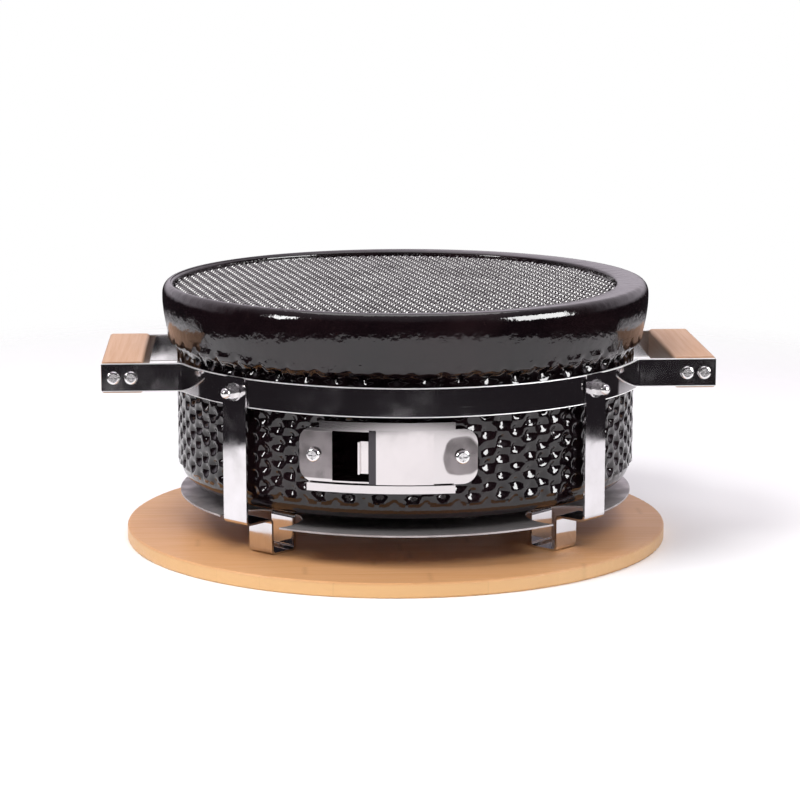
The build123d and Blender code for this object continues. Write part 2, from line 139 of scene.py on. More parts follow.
def tinted(tree, amount, dark, light):
    """A colour that goes from dark to light as the amount goes from 0 to 1.
    Either may be another colour's output."""
    mix = tree.nodes.new("ShaderNodeMix")
    mix.data_type = "RGBA"
    tree.links.new(amount, mix.inputs["Factor"])
    for socket, colour in ((mix.inputs["A"], dark), (mix.inputs["B"], light)):
        if isinstance(colour, tuple):
            socket.default_value = (*colour, 1.0)
        else:
            tree.links.new(colour, socket)
    return mix.outputs["Result"]


def laid_over(tree, colour, mask, share, tint):
    """The colour with a share of the tint over it where the mask is 1, and none where it is 0."""
    return tinted(tree, ranging(tree, mask, 0.0, share), colour, tint)


def finish_with(tree, shader, colour, roughness):
    """Gives the shader its colour and its roughness."""
    tree.links.new(colour, shader.inputs["Base Color"])
    tree.links.new(roughness, shader.inputs["Roughness"])


def raised(tree, shader, height, distance, strength=1.0):
    """Bump: the height, times the distance in metres, stands out of the surface."""
    bump = tree.nodes.new("ShaderNodeBump")
    bump.inputs["Distance"].default_value = distance
    bump.inputs["Strength"].default_value = strength
    tree.links.new(height, bump.inputs["Height"])
    tree.links.new(bump.outputs["Normal"], shader.inputs["Normal"])


def wear(node, material):
    """Puts the material on a solid, in place of its plain one."""
    for material_slot in nodes[node].material_slots:
        material_slot.material = material


def make_fibre_group():
    """Long fibres and slow patches of tone for wood: noise drawn out along X of the coordinates."""
    group = bpy.data.node_groups.new("wood_fibres", "ShaderNodeTree")
    group.interface.new_socket("Place", in_out="INPUT", socket_type="NodeSocketVector")
    group.interface.new_socket("Fineness", in_out="INPUT", socket_type="NodeSocketFloat")
    group.interface.new_socket("Fibres", in_out="OUTPUT", socket_type="NodeSocketFloat")
    group.interface.new_socket("Patches", in_out="OUTPUT", socket_type="NodeSocketFloat")
    start = group.nodes.new("NodeGroupInput")
    end = group.nodes.new("NodeGroupOutput")
    along = stretched(group, start.outputs["Place"], (0.035, 1.0, 1.0))
    fine = group.nodes.new("ShaderNodeTexNoise")
    fine.inputs["Detail"].default_value = 5.0
    fine.inputs["Roughness"].default_value = 0.65
    group.links.new(along, fine.inputs["Vector"])
    group.links.new(start.outputs["Fineness"], fine.inputs["Scale"])
    group.links.new(between(group, fine.outputs["Fac"], 0.34, 0.66), end.inputs["Fibres"])
    slow = stretched(group, start.outputs["Place"], (0.2, 1.0, 1.0))
    tone = cloud(group, slow, 28.0, detail=2.0)
    group.links.new(between(group, tone, 0.3, 0.7), end.inputs["Patches"])
    return group


wood_fibres = make_fibre_group()


def fibres_along(tree, place, fineness, turn=(0, 0, 0)):
    """The wood fibre group placed in a material, with its fibres turned to run along the piece."""
    grain = tree.nodes.new("ShaderNodeGroup")
    grain.node_tree = wood_fibres
    grain.inputs["Fineness"].default_value = fineness
    tree.links.new(stretched(tree, place, (1, 1, 1), turn), grain.inputs["Place"])
    return grain.outputs["Fibres"], grain.outputs["Patches"]


def make_bamboo():
    """Oiled bamboo. The whole part of Y over the strip's width picks each strip's tone, the rest of
    it marks the seams, and X over the strip's length marks the few darker joints across. A pale
    gold band just under the top edge is a painted highlight."""
    material, tree, shader, place = start_material("oiled_bamboo", 0.42)
    lengthwise, crosswise, upright = axes(tree, place)
    across = sums(tree, "DIVIDE", crosswise, BAMBOO_WIDTH)
    tone = tree.nodes.new("ShaderNodeTexWhiteNoise")
    tone.noise_dimensions = "1D"
    tree.links.new(sums(tree, "FLOOR", across), tone.inputs["W"])
    along = sums(tree, "DIVIDE", lengthwise, BAMBOO_LENGTH)
    along = sums(tree, "ADD", along, tone.outputs["Value"])
    seam = how_far(tree, sums(tree, "FRACT", across), 0.5)
    seam = between(tree, seam, 0.5 - SEAM_SHARE, 0.5)
    joint = how_far(tree, sums(tree, "FRACT", along), 0.5)
    joint = between(tree, joint, JOINT_SHARE, 0.0)
    # Painted highlight: a pale gold band just under the top edge, where the rounded edge catches
    # the light.
    highlight_start, highlight_full = HIGHLIGHT_BELOW_TOP
    edge_highlight = between(tree, upright, BOARD_TOP - highlight_start, BOARD_TOP - highlight_full)
    fibres, patches = fibres_along(tree, place, 420.0)
    strip_tone = ranging(tree, tone.outputs["Value"], 0.25, 0.75)
    bamboo = tinted(tree, strip_tone, BAMBOO_BROWN, BAMBOO_PALE)
    bamboo = laid_over(tree, bamboo, fibres, 0.28, FIBRE_BROWN)
    bamboo = laid_over(tree, bamboo, patches, 0.22, PATCH_GOLD)
    bamboo = laid_over(tree, bamboo, joint, 0.35, JOINT_BROWN)
    bamboo = laid_over(tree, bamboo, seam, 0.3, SEAM_BROWN)
    bamboo = laid_over(tree, bamboo, edge_highlight, 0.45, EDGE_HIGHLIGHT_GOLD)
    finish_with(tree, shader, bamboo, ranging(tree, fibres, 0.36, 0.50))
    raised(tree, shader, fibres, distance=0.00006)
    return material


wear("bamboo_board", make_bamboo())


# Base plate, legs, band and vent
# Stainless sheet, cut and bent, then bolted and riveted together. The legs and the band are
# polished to a mirror, the base plate is left as rolled, and the vent's face has a painted dark
# reflection round its screws. The band's edges carry a painted highlight, and the door a painted
# shade behind its tab.

def middle_of(node):
    """The middle of a solid's box, in metres."""
    low, high = reach_of(node)
    return (low + high) / 2


LEGS = ["leg_front_left", "leg_front_right", "leg_rear_left", "leg_rear_right"]
BAND_MIDDLE = float(middle_of("band_front")[2])
BAND_HIGHLIGHT_REACH = (0.0092, 0.0096)
VENT_AZIMUTH = math.radians(270 - 7.4)
VENT_MIDDLE = float(middle_of("vent_frame")[2])
VENT_RAILS = (0.0158, 0.0164)
SCREW_RADIUS = 0.1686
SCREW_TURN = math.radians(17.2)
LEFT_REFLECTION_REACH = 0.022
RIGHT_REFLECTION_REACH = 0.0125
REFLECTION_EDGE = 0.0015
REFLECTION_WANDER = 0.004
LIP_X = -0.0317
LIP_HALF = (0.0024, 0.0027)

LEG_STEEL = (0.72, 0.70, 0.715)
LEG_SMEAR = (0.62, 0.60, 0.60)
PLATE_GREY = (0.52, 0.49, 0.49)
PLATE_DARK = (0.38, 0.355, 0.36)
VENT_STEEL = (0.60, 0.57, 0.57)
VENT_REFLECTION_GREY = (0.32, 0.29, 0.295)
VENT_REFLECTION_DARK = (0.17, 0.155, 0.155)
DOOR_STEEL = (0.62, 0.585, 0.585)
DOOR_SMEAR = (0.56, 0.53, 0.53)
LIP_SHADE_DARK = (0.06, 0.055, 0.06)
BAND_STEEL = (0.66, 0.64, 0.65)
BAND_SMEAR = (0.56, 0.54, 0.55)
BAND_EDGE_HIGHLIGHT = (0.95, 0.94, 0.94)


def make_smear_group():
    """Handling marks on bright metal: broad smears and thin scuffs, whichever is stronger, put out
    as one mask, and a slow wave of the sheet."""
    group = bpy.data.node_groups.new("handling_marks", "ShaderNodeTree")
    group.interface.new_socket("Place", in_out="INPUT", socket_type="NodeSocketVector")
    group.interface.new_socket("Marks", in_out="OUTPUT", socket_type="NodeSocketFloat")
    group.interface.new_socket("Waves", in_out="OUTPUT", socket_type="NodeSocketFloat")
    start = group.nodes.new("NodeGroupInput")
    end = group.nodes.new("NodeGroupOutput")
    smears = cloud(group, start.outputs["Place"], 34.0, detail=4.0, roughness=0.6)
    smears = between(group, smears, 0.45, 0.8)
    scuffed = stretched(group, start.outputs["Place"], (40.0, 40.0, 900.0), (0.5, 0.3, 0.2))
    scuffs = between(group, cloud(group, scuffed, 1.0, detail=2.0), 0.66, 0.78)
    faint_scuffs = sums(group, "MULTIPLY", scuffs, 0.5)
    group.links.new(sums(group, "MAXIMUM", smears, faint_scuffs), end.inputs["Marks"])
    group.links.new(cloud(group, start.outputs["Place"], 22.0, detail=1.0), end.inputs["Waves"])
    return group


handling_marks = make_smear_group()


def marks_on(tree, place):
    """The handling marks group placed in a material."""
    marks = tree.nodes.new("ShaderNodeGroup")
    marks.node_tree = handling_marks
    tree.links.new(place, marks.inputs["Place"])
    return marks.outputs["Marks"], marks.outputs["Waves"]


def make_polished_sheet():
    """Mirror-polished stainless sheet, rougher and greyer where it is smeared."""
    material, tree, shader, place = start_material("polished_sheet", 0.06, 1.0)
    marks, waves = marks_on(tree, place)
    finish_with(tree, shader, tinted(tree, marks, LEG_STEEL, LEG_SMEAR),
                ranging(tree, marks, 0.045, 0.16))
    raised(tree, shader, waves, distance=0.0006, strength=0.6)
    return material


def make_dull_plate():
    """Stainless sheet as it comes from the rolls, matt and clouded."""
    material, tree, shader, place = start_material("dull_plate", 0.4, 0.6)
    clouds = between(tree, cloud(tree, place, 75.0), 0.35, 0.65)
    finish_with(tree, shader, tinted(tree, clouds, PLATE_GREY, PLATE_DARK),
                ranging(tree, clouds, 0.34, 0.5))
    return material


def make_screw_reflection_plate():
    """The vent's face: a painted dark reflection within a wandering distance of each screw, where
    the sheet is pulled on to the clay, made rougher there too, and bright between them and on the
    rails above and below."""
    material, tree, shader, place = start_material("screw_reflection_plate", 0.15, 1.0)
    clouds = between(tree, cloud(tree, place, 75.0), 0.35, 0.65)
    wander = ranging(tree, cloud(tree, place, 60.0, detail=1.0), -REFLECTION_WANDER, REFLECTION_WANDER)
    screw_reflections = []
    for turn, reach in ((-SCREW_TURN, LEFT_REFLECTION_REACH), (SCREW_TURN, RIGHT_REFLECTION_REACH)):
        azimuth = VENT_AZIMUTH + turn
        away = tree.nodes.new("ShaderNodeVectorMath")
        away.operation = "DISTANCE"
        tree.links.new(place, away.inputs[0])
        away.inputs[1].default_value = (
            SCREW_RADIUS * math.cos(azimuth), SCREW_RADIUS * math.sin(azimuth), VENT_MIDDLE)
        near = sums(tree, "ADD", away.outputs["Value"], wander)
        screw_reflections.append(between(tree, near, reach, reach + REFLECTION_EDGE, 1.0, 0.0))
    off_middle = how_far(tree, axes(tree, place)[2], VENT_MIDDLE)
    off_rails = between(tree, off_middle, *VENT_RAILS, 1.0, 0.0)
    # Painted reflection: the face is darkened within a wandering distance of each screw, except on
    # the rails.
    reflection_mask = sums(tree, "MULTIPLY", sums(tree, "MAXIMUM", *screw_reflections), off_rails)
    painted_reflection = tinted(tree, clouds, VENT_REFLECTION_GREY, VENT_REFLECTION_DARK)
    finish_with(tree, shader, tinted(tree, reflection_mask, VENT_STEEL, painted_reflection),
                ranging(tree, reflection_mask, 0.09, 0.26))
    return material


def make_door_sheet():
    """Polished sheet, with a painted dark stripe of shade behind the door's finger tab, where the
    solid has no lip.
    """
    material, tree, shader, place = start_material("door_sheet", 0.06, 1.0)
    marks, waves = marks_on(tree, place)
    # Painted shade: a dark stripe runs down the door behind its finger tab.
    painted_lip_shade = between(tree, how_far(tree, axes(tree, place)[0], LIP_X), *LIP_HALF, 1.0, 0.0)
    face = tinted(tree, marks, DOOR_STEEL, DOOR_SMEAR)
    finish_with(tree, shader, tinted(tree, painted_lip_shade, face, LIP_SHADE_DARK), ranging(tree, marks, 0.05, 0.12))
    raised(tree, shader, waves, distance=0.0004, strength=0.5)
    return material


def make_band_sheet():
    """Mirror-polished sheet with a painted highlight along its upper and lower edges, which are
    also made rougher.
    """
    material, tree, shader, place = start_material("band_sheet", 0.07, 1.0)
    marks, waves = marks_on(tree, place)
    # Painted highlight: the band's upper and lower edges are coloured near white.
    edge_highlight = between(tree, how_far(tree, axes(tree, place)[2], BAND_MIDDLE), *BAND_HIGHLIGHT_REACH)
    face = tinted(tree, marks, BAND_STEEL, BAND_SMEAR)
    highlight_roughness = sums(tree, "MULTIPLY", edge_highlight, 0.6)
    finish_with(tree, shader, tinted(tree, edge_highlight, face, BAND_EDGE_HIGHLIGHT),
                sums(tree, "MAXIMUM", ranging(tree, marks, 0.05, 0.15), highlight_roughness))
    raised(tree, shader, waves, distance=0.0006, strength=0.6)
    return material


polished_sheet = make_polished_sheet()
for leg in LEGS:
    wear(leg, polished_sheet)
wear("base_plate", make_dull_plate())
wear("vent_frame", make_screw_reflection_plate())
wear("vent_door", make_door_sheet())
band_sheet = make_band_sheet()
wear("band_front", band_sheet)
wear("band_rear", band_sheet)


# Bolts, washers, cap nuts, rivets and screws
# Bright stainless fasteners, machined and tumbled, so a little softer than the sheet round them.
# They hold the legs to the band, the feet to the plate, the grips to the arms and the vent.

FASTENERS = [
    "leg_bolts", "leg_washers", "leg_cap_nuts", "tab_rivets",
    "grip_screws_left", "grip_screws_right", "vent_screws",
]
TUMBLED_STEEL = (0.84, 0.83, 0.83)
TUMBLED_SMEAR = (0.62, 0.60, 0.60)


def make_fastener_steel():
    """Tumbled stainless steel with fine tool marks."""
    material, tree, shader, place = start_material("fastener_steel", 0.2, 1.0)
    marks, _ = marks_on(tree, place)
    tool_marks = cloud(tree, place, 2400.0, detail=2.0)
    finish_with(tree, shader, tinted(tree, marks, TUMBLED_STEEL, TUMBLED_SMEAR),
                between(tree, tool_marks, 0.3, 0.7, 0.14, 0.28))
    raised(tree, shader, tool_marks, distance=0.00004)
    return material


fastener_steel = make_fastener_steel()
for fastener in FASTENERS:
    wear(fastener, fastener_steel)


# Grips
# Two bars of pale hardwood, planed and sanded, screwed between the ends of the band's arms.
# The grain runs along each grip, from front to back.

HARDWOOD = (0.54, 0.32, 0.19)
HARDWOOD_FIBRE = (0.43, 0.225, 0.12)
HARDWOOD_PATCH = (0.62, 0.40, 0.27)


def make_grip_wood():
    """Pale sanded hardwood with browner fibres along Y and paler patches."""
    material, tree, shader, place = start_material("grip_wood", 0.5)
    fibres, patches = fibres_along(tree, place, 340.0, (0, 0, math.radians(90)))
    wood = laid_over(tree, HARDWOOD, fibres, 0.55, HARDWOOD_FIBRE)
    wood = laid_over(tree, wood, patches, 0.4, HARDWOOD_PATCH)
    finish_with(tree, shader, wood, ranging(tree, fibres, 0.42, 0.58))
    raised(tree, shader, fibres, distance=0.0001)
    return material


grip_wood = make_grip_wood()
wear("grip_left", grip_wood)
wear("grip_right", grip_wood)


# Ceramic bowl
# A heavy clay bowl, pressed in a mould that leaves a field of round dimples, then dipped in
# near-black glaze. It stands on its foot ring inside the legs. The vent port goes through its wall.

BOWL_FOOT = reach_of("ceramic_bowl")[0][2]
BOWL_TOP = reach_of("ceramic_bowl")[1][2]
MESH_LEDGE = reach_of("cooking_mesh")[0][2]
GRATE_LEDGE = reach_of("charcoal_grate")[0][2]
MESH_MIDDLE = middle_of("cooking_mesh")

WALL = 0.163
CORNER = 0.012
UNDERSIDE = 0.044
UNDERSIDE_REACH = 0.150
FOOT_INNER = 0.082
FOOT_OUTER = 0.098
EASE = 0.0002

SWELL = 0.0073
SWELL_RISE = (0.1415, 0.1488)
LEAN = 0.0050
LEAN_FROM = 0.147
LEAN_HEIGHT = 0.030
RIM_FOOT = 0.141
RIM_SHOULDER = 0.179
RIM_ROUND = 0.0058
CREST = WALL + SWELL + LEAN - RIM_ROUND
CREST_WIDTH = 0.008
CREST_FALL = 0.0010

RECESS = 0.160
RECESS_LIP = 0.0015
UPPER_CHAMBER = 0.146
LOWER_CHAMBER = 0.138
FLOOR_TOP = 0.059
FLOOR_CORNER = 0.018

PORT_LOW = 0.0718
PORT_HIGH = 0.1078
PORT_FROM = math.radians(-13.3)
PORT_TO = math.radians(2.2)
LAND_RADIUS = 0.1672
LAND_SIDES = (math.radians(19.3), math.radians(19.9))
LAND_FOOT = (0.0722, 0.0737)
LAND_TOP = (0.1060, 0.1075)

DIMPLE_COLUMNS = 98
DIMPLE_ROWS = 12
FACES_PER_DIMPLE = 7
COLUMNS = DIMPLE_COLUMNS * FACES_PER_DIMPLE
DIMPLE_PITCH = 0.012
DIMPLE_RADIUS = 0.0058
DIMPLE_DEPTH = 0.0025
DIMPLE_SQUASH = 1.02
DIMPLE_BOWL = 1.15
ERROR_ASIDE = 0.0006
ERROR_UPWARD = 0.0007
ERROR_OF_WIDTH = 0.08
ERROR_OF_DEPTH = 0.14
WEB = 0.0023
FIELD_RISE = (0.0540, 0.0575)
FIELD_FALL = (0.1480, 0.1510)
WALL_RELIEF = (0.0562, 0.1535)
RIM_RELIEF = (0.1535, 0.186)

CLAY_WAVES = 16
CLAY_WAVE_HEIGHT = 0.00005
ROUGH_PLAIN = 0.1
ROUGH_FIELD = 0.7

GLAZE_BLACK = (0.0045, 0.0024, 0.0034)
GLAZE_BROWN = (0.014, 0.0065, 0.0078)
GLAZE_SPECK = (0.06, 0.035, 0.03)
WELD_WITHIN = 0.00001


def quarter(centre_r, centre_z, radius, start, end, steps):
    """Points on a circle arc in the (r, z) half plane, from one angle in degrees to another."""
    angle = np.radians(np.linspace(start, end, steps))
    return np.column_stack((centre_r + radius * np.cos(angle), centre_z + radius * np.sin(angle)))


def straight(start, end, steps):
    """Evenly spaced points from start to end in the (r, z) half plane."""
    along = np.linspace(0, 1, steps)[:, None]
    return np.array(start) * (1 - along) + np.array(end) * along


def soft_step(value, low, high):
    """0 below low, 1 above high, and the cubic 3t^2 - 2t^3 between."""
    t = np.clip((value - low) / (high - low), 0, 1)
    return t * t * (3 - 2 * t)


def rim_face(height):
    """The outer radius above the wall: a quick swell over the band, then a lean outwards that
    dies away with height."""
    lean = np.clip((height - LEAN_FROM) / LEAN_HEIGHT, 0, 1)
    return WALL + SWELL * soft_step(height, *SWELL_RISE) + LEAN * (1 - (1 - lean) ** 1.8)


def bowl_profile():
    """The half section, from the centre of the underside out, up, over the rim and down to the
    floor. Returns its points, how far each follows the mesh's recess off the axis, which are
    outside, and the rows between which the port cuts the outer and the inner wall."""
    face_z = np.linspace(RIM_FOOT, RIM_SHOULDER, 14)[1:]
    round_over = np.radians(np.linspace(0, 90, 9))[1:]
    inwards = np.linspace(0, 1, 7)[1:]
    outer = np.vstack([
        straight((0, UNDERSIDE), (FOOT_INNER, UNDERSIDE), 2),
        straight((FOOT_INNER, UNDERSIDE - EASE), (FOOT_INNER, BOWL_FOOT), 2),
        straight((FOOT_INNER + EASE, BOWL_FOOT), (FOOT_OUTER, BOWL_FOOT), 2),
        straight((FOOT_OUTER, BOWL_FOOT + EASE), (FOOT_OUTER, UNDERSIDE - EASE), 2),
        straight((FOOT_OUTER + EASE, UNDERSIDE), (UNDERSIDE_REACH, UNDERSIDE), 2),
        quarter(WALL - CORNER, UNDERSIDE + CORNER, CORNER, -90, 0, 8)[1:],
        straight((WALL, UNDERSIDE + CORNER), (WALL, PORT_LOW), 11)[1:],
        straight((WALL, PORT_LOW), (WALL, PORT_HIGH), 26)[1:],
        straight((WALL, PORT_HIGH), (WALL, RIM_FOOT), 24)[1:],
        np.column_stack((rim_face(face_z), face_z)),
        np.column_stack((CREST + RIM_ROUND * np.cos(round_over),
                         RIM_SHOULDER + (BOWL_TOP - RIM_SHOULDER) * np.sin(round_over))),
    ])
    top = np.column_stack((CREST - CREST_WIDTH * inwards, BOWL_TOP - CREST_FALL * inwards ** 2))
    lip_z = BOWL_TOP - CREST_FALL - RECESS_LIP
    recess = np.vstack([
        quarter(RECESS + RECESS_LIP, lip_z, RECESS_LIP, 90, 180, 4)[1:],
        straight((RECESS, lip_z - EASE), (RECESS, MESH_LEDGE + EASE), 2),
        [(RECESS - EASE, MESH_LEDGE)],
    ])
    inner = np.vstack([
        [(UPPER_CHAMBER + EASE, MESH_LEDGE)],
        straight((UPPER_CHAMBER, MESH_LEDGE - EASE), (UPPER_CHAMBER, GRATE_LEDGE + EASE), 2),
        straight((UPPER_CHAMBER - EASE, GRATE_LEDGE), (LOWER_CHAMBER + EASE, GRATE_LEDGE), 2),
        straight((LOWER_CHAMBER, GRATE_LEDGE - EASE), (LOWER_CHAMBER, PORT_HIGH), 2),
        straight((LOWER_CHAMBER, PORT_HIGH), (LOWER_CHAMBER, FLOOR_TOP + FLOOR_CORNER), 4)[1:],
        quarter(LOWER_CHAMBER - FLOOR_CORNER, FLOOR_TOP + FLOOR_CORNER, FLOOR_CORNER,
                0, -90, 10)[1:],
        [(0, FLOOR_TOP)],
    ])
    points = np.vstack((outer, top, recess, inner))
    follows = np.concatenate((
        np.zeros(len(outer)), inwards, np.ones(len(recess)), np.zeros(len(inner))))
    rows = np.arange(len(points))
    outside = rows < len(outer)
    radius, height = points[:, 0], points[:, 1]
    wall = rows[outside & np.isclose(radius, WALL)]
    chamber = rows[~outside & (radius > LOWER_CHAMBER - FLOOR_CORNER)
                   & (height < GRATE_LEDGE - EASE / 2)]

    def nearest(choices, level):
        return int(choices[np.argmin(np.abs(height[choices] - level))])

    outer_rows = nearest(wall, PORT_LOW), nearest(wall, PORT_HIGH)
    inner_rows = nearest(chamber, PORT_LOW), nearest(chamber, PORT_HIGH)
    return points, follows, outside, outer_rows, inner_rows


def unevenness(angle, height):
    """How far the hand-pressed clay stands off its true surface: a sum of cosine waves of random
    direction and phase, 8 to 40 mm long, each with a whole number of crests round the bowl."""
    rng = np.random.default_rng(5)
    total = np.zeros_like(angle)
    for crests in rng.integers(25, 120, CLAY_WAVES):
        upright, phase = rng.normal(0, 700), rng.uniform(0, 2 * math.pi)
        total += np.cos(crests * angle + upright * height + phase)
    return total * CLAY_WAVE_HEIGHT


def dimple_depth(angle, height):
    """How deep each point lies in its nearest dimple, from 0 to 1. The dimples stand in columns,
    every second column half a pitch higher. Each is a hollow whose depth is half of one plus the
    cosine of the way to its edge, with a small random error of place, width and depth."""
    rng = np.random.default_rng(11)
    error = rng.normal(size=(4, DIMPLE_COLUMNS + 2, DIMPLE_ROWS + 2))
    spacing = 2 * math.pi / DIMPLE_COLUMNS
    deepest = np.zeros_like(angle)
    base_column = np.floor(angle / spacing).astype(int)
    for column_step in (-1, 0, 1, 2):
        column = base_column + column_step
        wrapped = column % DIMPLE_COLUMNS
        level = (height - FIELD_RISE[1]) / DIMPLE_PITCH - 0.5 * (column % 2)
        for row_step in (0, 1):
            row = np.clip(np.floor(level).astype(int) + row_step, 0, DIMPLE_ROWS)
            aside_error, upward_error, width_error, depth_error = error[:, wrapped, row]
            size = DIMPLE_RADIUS * (1 + ERROR_OF_WIDTH * width_error)
            depth = 1 + ERROR_OF_DEPTH * depth_error
            aside = (angle - column * spacing) * WALL - ERROR_ASIDE * aside_error
            above = (level - row) * DIMPLE_PITCH - ERROR_UPWARD * upward_error
            away = np.clip(np.hypot(aside, above * DIMPLE_SQUASH) / size, 0, 1)
            hollow = (0.5 + 0.5 * np.cos(math.pi * away)) ** DIMPLE_BOWL
            deepest = np.maximum(deepest, depth * hollow)
    return deepest


def from_vent(angle):
    """The angle round the bowl from the middle of the vent, between minus and plus pi."""
    return (angle - VENT_AZIMUTH + math.pi) % (2 * math.pi) - math.pi


def bowl_skin(profile, follows, outside):
    """The half section carried round the axis. On the wall the web stands out and the dimples are
    taken back from it, and behind the vent both give way to a land of one radius."""
    angle = np.arange(COLUMNS) * 2 * math.pi / COLUMNS
    around = np.repeat(angle[:, None], len(profile), axis=1)
    radius = np.repeat(profile[None, :, 0], COLUMNS, axis=0)
    height = np.repeat(profile[None, :, 1], COLUMNS, axis=0)
    field = soft_step(height, *FIELD_RISE) * (1 - soft_step(height, *FIELD_FALL))
    relief = WEB * field - DIMPLE_DEPTH * field * dimple_depth(around, height)
    rough = unevenness(around, height)
    dimpled = radius + relief + rough * (ROUGH_PLAIN + ROUGH_FIELD * field)
    land = 1 - soft_step(np.abs(from_vent(around)), *LAND_SIDES)
    land *= soft_step(height, *LAND_FOOT) * (1 - soft_step(height, *LAND_TOP))
    dimpled = dimpled * (1 - land) + LAND_RADIUS * land
    level = profile[:, 1]
    on_wall = outside & (level > WALL_RELIEF[0]) & (level < WALL_RELIEF[1])
    on_rim = outside & (level >= RIM_RELIEF[0]) & (level < RIM_RELIEF[1])
    radius = np.where(on_wall, dimpled, radius + ROUGH_PLAIN * rough * on_rim)
    x = radius * np.cos(around) + MESH_MIDDLE[0] * follows
    y = radius * np.sin(around) + MESH_MIDDLE[1] * follows
    return np.stack((x, y, height), axis=-1).reshape(-1, 3)


def bowl_faces(count, outer_rows, inner_rows):
    """Four-cornered faces between each column of points and the next, left out where the port is.
    Its sill, head and two sides join the outer wall to the inner one."""
    column = np.arange(COLUMNS)
    following = (column + 1) % COLUMNS
    near = column[:, None] * count + np.arange(count - 1)
    far = following[:, None] * count + np.arange(count - 1)
    quads = np.stack((near, far, far + 1, near + 1), axis=-1)
    middle = from_vent((column + 0.5) * 2 * math.pi / COLUMNS)
    in_port = (middle > PORT_FROM) & (middle < PORT_TO)
    cut_row = np.zeros(count - 1, bool)
    cut_row[outer_rows[0]:outer_rows[1]] = True
    cut_row[inner_rows[1]:inner_rows[0]] = True
    faces = [quads[~(in_port[:, None] & cut_row)]]

    port = column[in_port]
    near, far = port * count, following[port] * count
    for outer_row, inner_row, turned_over in zip(outer_rows, inner_rows, (False, True)):
        side = np.column_stack((
            near + outer_row, far + outer_row, far + inner_row, near + inner_row))
        faces.append(side[:, ::-1] if turned_over else side)
    outer_list = np.arange(outer_rows[0], outer_rows[1] + 1)
    inner_list = np.arange(inner_rows[1], inner_rows[0] + 1)[::-1]
    share = np.linspace(0, 1, len(outer_list))
    matched = inner_list[np.round(share * (len(inner_list) - 1)).astype(int)]
    for edge_column, turned_over in ((port[0], True), (following[port[-1]], False)):
        side = edge_column * count + np.column_stack((
            outer_list[:-1], outer_list[1:], matched[1:], matched[:-1]))
        faces.append(side[:, ::-1] if turned_over else side)
    return np.vstack(faces).tolist()


def put_in_scene(name, vertices, faces, material, body, smooth_below, weld=0.0):
    """Makes a mesh object at the origin from its points and faces, welds the points that meet,
    shades it smooth up to an angle, gives it its material and lets it ride on its body."""
    mesh = bpy.data.meshes.new(name)
    mesh.from_pydata(vertices.tolist(), [], faces)
    if weld:
        shape = bmesh.new()
        shape.from_mesh(mesh)
        bmesh.ops.remove_doubles(shape, verts=shape.verts, dist=weld)
        bmesh.ops.recalc_face_normals(shape, faces=shape.faces)
        shape.to_mesh(mesh)
        shape.free()
    mesh.polygons.foreach_set("use_smooth", np.ones(len(mesh.polygons), bool))
    mesh.set_sharp_from_angle(angle=math.radians(smooth_below))
    mesh.materials.append(material)
    piece = bpy.data.objects.new(name, mesh)
    bpy.context.scene.collection.objects.link(piece)
    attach(piece, body)
    return piece


def make_glaze():
    """Near-black glaze, brown where it runs thin, with a faint orange-peel skin under its gloss."""
    material, tree, shader, place = start_material("black_glaze", 0.09)
    shader.inputs["Coat Weight"].default_value = 0.1
    shader.inputs["Coat Roughness"].default_value = 0.05
    thin = between(tree, cloud(tree, place, 18.0, detail=4.0, roughness=0.6), 0.4, 0.75)
    specks = between(tree, cloud(tree, place, 620.0, detail=2.0), 0.66, 0.74)
    colour = tinted(tree, thin, GLAZE_BLACK, GLAZE_BROWN)
    colour = laid_over(tree, colour, specks, 0.25, GLAZE_SPECK)
    finish_with(tree, shader, colour, ranging(tree, thin, 0.07, 0.15))
    raised(tree, shader, cloud(tree, place, 120.0), distance=0.0007, strength=0.6)
    return material


section, section_follows, section_outside, wall_rows, chamber_rows = bowl_profile()
bowl = put_in_scene(
    "glazed_bowl", bowl_skin(section, section_follows, section_outside),
    bowl_faces(len(section), wall_rows, chamber_rows), make_glaze(), "grill",
    smooth_below=50.0, weld=WELD_WITHIN)
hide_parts("ceramic_bowl")


# Charcoal grate
# A heavy disc of cast iron with long slots, lying loose on the lower ledge to carry the charcoal.
# Sand casting leaves it dull, pitted and nearly black.

IRON_DARK = (0.018, 0.017, 0.017)
IRON_BROWN = (0.055, 0.048, 0.044)


def make_cast_iron():
    """Dull cast iron with a sandy skin."""
    material, tree, shader, place = start_material("cast_iron", 0.7, 0.6)
    sand = cloud(tree, place, 900.0, detail=4.0, roughness=0.7)
    finish_with(tree, shader, tinted(tree, between(tree, sand, 0.35, 0.7), IRON_DARK, IRON_BROWN),
                between(tree, sand, 0.3, 0.7, 0.55, 0.85))
    raised(tree, shader, sand, distance=0.0004)
    return material


wear("charcoal_grate", make_cast_iron())


# Cooking mesh
# Crimped steel wires woven over and under each other and cut to a round disc, with no rim.
# It lies loose on the upper ledge, a little off centre, and lifts out.

WIRE_RADIUS = 0.00075
WIRE_PITCH = 0.0047
WIRE_SIDES = 5
STEPS_PER_PITCH = 4
CRIMP = 0.00105
MESH_RADIUS = 0.1585
MESH_TURN = math.radians(57)

WIRE_STEEL = (0.60, 0.60, 0.585)
WIRE_SMEAR = (0.34, 0.335, 0.325)


